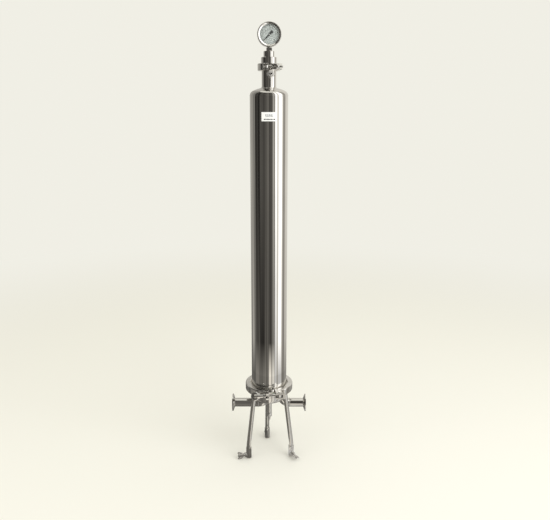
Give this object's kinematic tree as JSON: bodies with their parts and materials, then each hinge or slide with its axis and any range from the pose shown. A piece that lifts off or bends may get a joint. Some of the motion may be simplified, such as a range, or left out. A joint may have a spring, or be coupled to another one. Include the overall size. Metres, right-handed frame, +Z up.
{
  "type": "cartridge filter housing",
  "caption": "Tall polished steel cartridge filter housing on three legs, with clamped bell, pipe ferrules, vent and drain valves and a top pressure gauge.",
  "frame": {"origin": "on the vessel's axis, in the plane that the feet stand on", "axes": "+Z up along the vessel, -Y is the front with the gauge's face, +X is the inlet's side"},
  "size_m": [0.218, 0.1929, 1.2285],
  "materials": {
    "polished_steel": "mirror polished stainless steel",
    "satin_steel": "cast stainless steel, lightly polished",
    "leg_steel": "bright drawn stainless rod",
    "white_silicone": "matte",
    "label_film": "printed film",
    "black_rubber": "matte",
    "filter_media": "pleated",
    "polypropylene": "natural, satin",
    "brass": "turned",
    "dial_white": "matte, printed scale",
    "pointer_black": "matte",
    "gauge_glass": "clear"
  },
  "bodies": {
    "housing": {"bell_ferrule": "polished_steel", "bell_tube": "polished_steel", "bell_dome": "polished_steel", "neck": "polished_steel", "name_label": "label_film", "base_ferrule": "polished_steel", "base_bowl": "polished_steel", "outlet_elbow": "polished_steel", "inlet_elbow": "polished_steel", "outlet_pipe": "polished_steel", "inlet_pipe": "polished_steel", "main_gasket": "white_silicone", "neck_gasket": "white_silicone", "leg_left": "leg_steel", "leg_right": "leg_steel", "leg_back": "leg_steel", "main_clamp_left": "satin_steel", "main_clamp_right": "satin_steel", "main_clamp_pins": "satin_steel", "neck_clamp_left": "satin_steel", "neck_clamp_right": "satin_steel", "neck_clamp_pins": "satin_steel", "vent_body": "satin_steel", "drain_body": "satin_steel", "cartridge_seat": "polished_steel", "cartridge_adapter": "polypropylene", "cartridge_o_rings": "black_rubber", "cartridge_core": "polypropylene", "cartridge_pleats": "filter_media", "cartridge_cage": "polypropylene", "cartridge_cap": "polypropylene", "seal_body": "polished_steel", "seal_diaphragm": "satin_steel", "gauge_case": "polished_steel", "gauge_bezel": "polished_steel", "gauge_glass": "gauge_glass", "gauge_dial": "dial_white", "gauge_stem": "satin_steel", "bourdon_tube": "brass", "gauge_movement": "brass"},
    "foot_left": {"foot_socket_left": "leg_steel"},
    "foot_screw_left": {"foot_screw_left": "satin_steel"},
    "foot_right": {"foot_socket_right": "leg_steel"},
    "foot_screw_right": {"foot_screw_right": "satin_steel"},
    "foot_back": {"foot_socket_back": "leg_steel"},
    "foot_screw_back": {"foot_screw_back": "satin_steel"},
    "main_bolt": {"main_eyebolt": "satin_steel"},
    "main_washer": {"main_nut_washer": "satin_steel"},
    "main_nut": {"main_wing_nut": "satin_steel"},
    "neck_bolt": {"neck_eyebolt": "satin_steel"},
    "neck_washer": {"neck_nut_washer": "satin_steel"},
    "neck_nut": {"neck_wing_nut": "satin_steel"},
    "vent_plug": {"vent_plug": "black_rubber"},
    "vent_knob": {"vent_knob": "satin_steel"},
    "drain_plug": {"drain_plug": "black_rubber"},
    "drain_knob": {"drain_knob": "satin_steel"},
    "pointer": {"gauge_pointer": "pointer_black", "pinion": "brass"},
    "sector": {"sector_gear": "brass"}
  },
  "joints": [
    {"name": "foot_left_extend", "type": "slide", "parent": "housing", "child": "foot_left", "axis": [0, 0, -1], "range_m": [0, 0.012]},
    {"name": "foot_screw_left_turn", "type": "hinge", "parent": "foot_left", "child": "foot_screw_left", "pos_m": [-0.0598, -0.04187, 0.012], "axis": [-0.9563, -0.2924, 0], "range_deg": [0, 810]},
    {"name": "foot_right_extend", "type": "slide", "parent": "housing", "child": "foot_right", "axis": [0, 0, -1], "range_m": [0, 0.012]},
    {"name": "foot_screw_right_turn", "type": "hinge", "parent": "foot_right", "child": "foot_screw_right", "pos_m": [0.06616, -0.03085, 0.012], "axis": [0.4695, -0.8829, 0], "range_deg": [0, 810]},
    {"name": "foot_back_extend", "type": "slide", "parent": "housing", "child": "foot_back", "axis": [0, 0, -1], "range_m": [0, 0.012]},
    {"name": "foot_screw_back_turn", "type": "hinge", "parent": "foot_back", "child": "foot_screw_back", "pos_m": [-0.00636, 0.07272, 0.012], "axis": [-0.0872, 0.9962, 0], "range_deg": [0, 810]},
    {"name": "main_bolt_swing", "type": "hinge", "parent": "housing", "child": "main_bolt", "pos_m": [0.03013, -0.06899, 0.218], "axis": [0, 0, 1], "range_deg": [0, 100]},
    {"name": "main_nut_travel", "type": "slide", "parent": "main_bolt", "child": "main_washer", "axis": [-0.9934, -0.1149, 0], "range_m": [0, 0.00281]},
    {"name": "main_nut_turn", "type": "hinge", "parent": "main_washer", "child": "main_nut", "pos_m": [-0.01954, -0.07474, 0.218], "axis": [-0.9934, -0.1149, 0], "range_deg": [0, 810]},
    {"name": "neck_bolt_swing", "type": "hinge", "parent": "housing", "child": "neck_bolt", "pos_m": [-0.00676, -0.0334, 1.117], "axis": [0, 0, -1], "range_deg": [0, 100]},
    {"name": "neck_nut_travel", "type": "slide", "parent": "neck_bolt", "child": "neck_washer", "axis": [0.9986, 0.0523, 0], "range_m": [0, 0.00225]},
    {"name": "neck_nut_turn", "type": "hinge", "parent": "neck_washer", "child": "neck_nut", "pos_m": [0.03069, -0.03144, 1.117], "axis": [0.9986, 0.0523, 0], "range_deg": [0, 810]},
    {"name": "vent_plug_travel", "type": "slide", "parent": "housing", "child": "vent_plug", "axis": [0.1392, -0.9903, 0], "range_m": [0, 0.003]},
    {"name": "vent_knob_turn", "type": "hinge", "parent": "vent_plug", "child": "vent_knob", "pos_m": [0.00418, -0.02971, 1.099], "axis": [0.1392, -0.9903, 0], "range_deg": [0, 720]},
    {"name": "drain_plug_travel", "type": "slide", "parent": "housing", "child": "drain_plug", "axis": [0, 0, -1], "range_m": [0, 0.003]},
    {"name": "drain_knob_turn", "type": "hinge", "parent": "drain_plug", "child": "drain_knob", "pos_m": [0.0015, -0.027, 0.135], "axis": [0, 0, -1], "range_deg": [0, 720]},
    {"name": "pointer_turn", "type": "hinge", "parent": "housing", "child": "pointer", "pos_m": [0, 0, 1.197], "axis": [-0.1045, 0.9945, 0], "range_deg": [0, 270]},
    {"name": "sector_turn", "type": "hinge", "parent": "housing", "child": "sector", "pos_m": [0.01266, 0.00133, 1.18427], "axis": [-0.1045, 0.9945, 0], "range_deg": [-54, 0]}
  ],
  "couplings": [
    {"joint": "main_nut_turn", "follows": "main_nut_travel", "rad_per_m": 5026.5},
    {"joint": "neck_nut_turn", "follows": "neck_nut_travel", "rad_per_m": 6283.2},
    {"joint": "vent_knob_turn", "follows": "vent_plug_travel", "rad_per_m": 4188.8},
    {"joint": "drain_knob_turn", "follows": "drain_plug_travel", "rad_per_m": 4188.8},
    {"joint": "sector_turn", "follows": "pointer_turn", "ratio": -0.2}
  ]
}
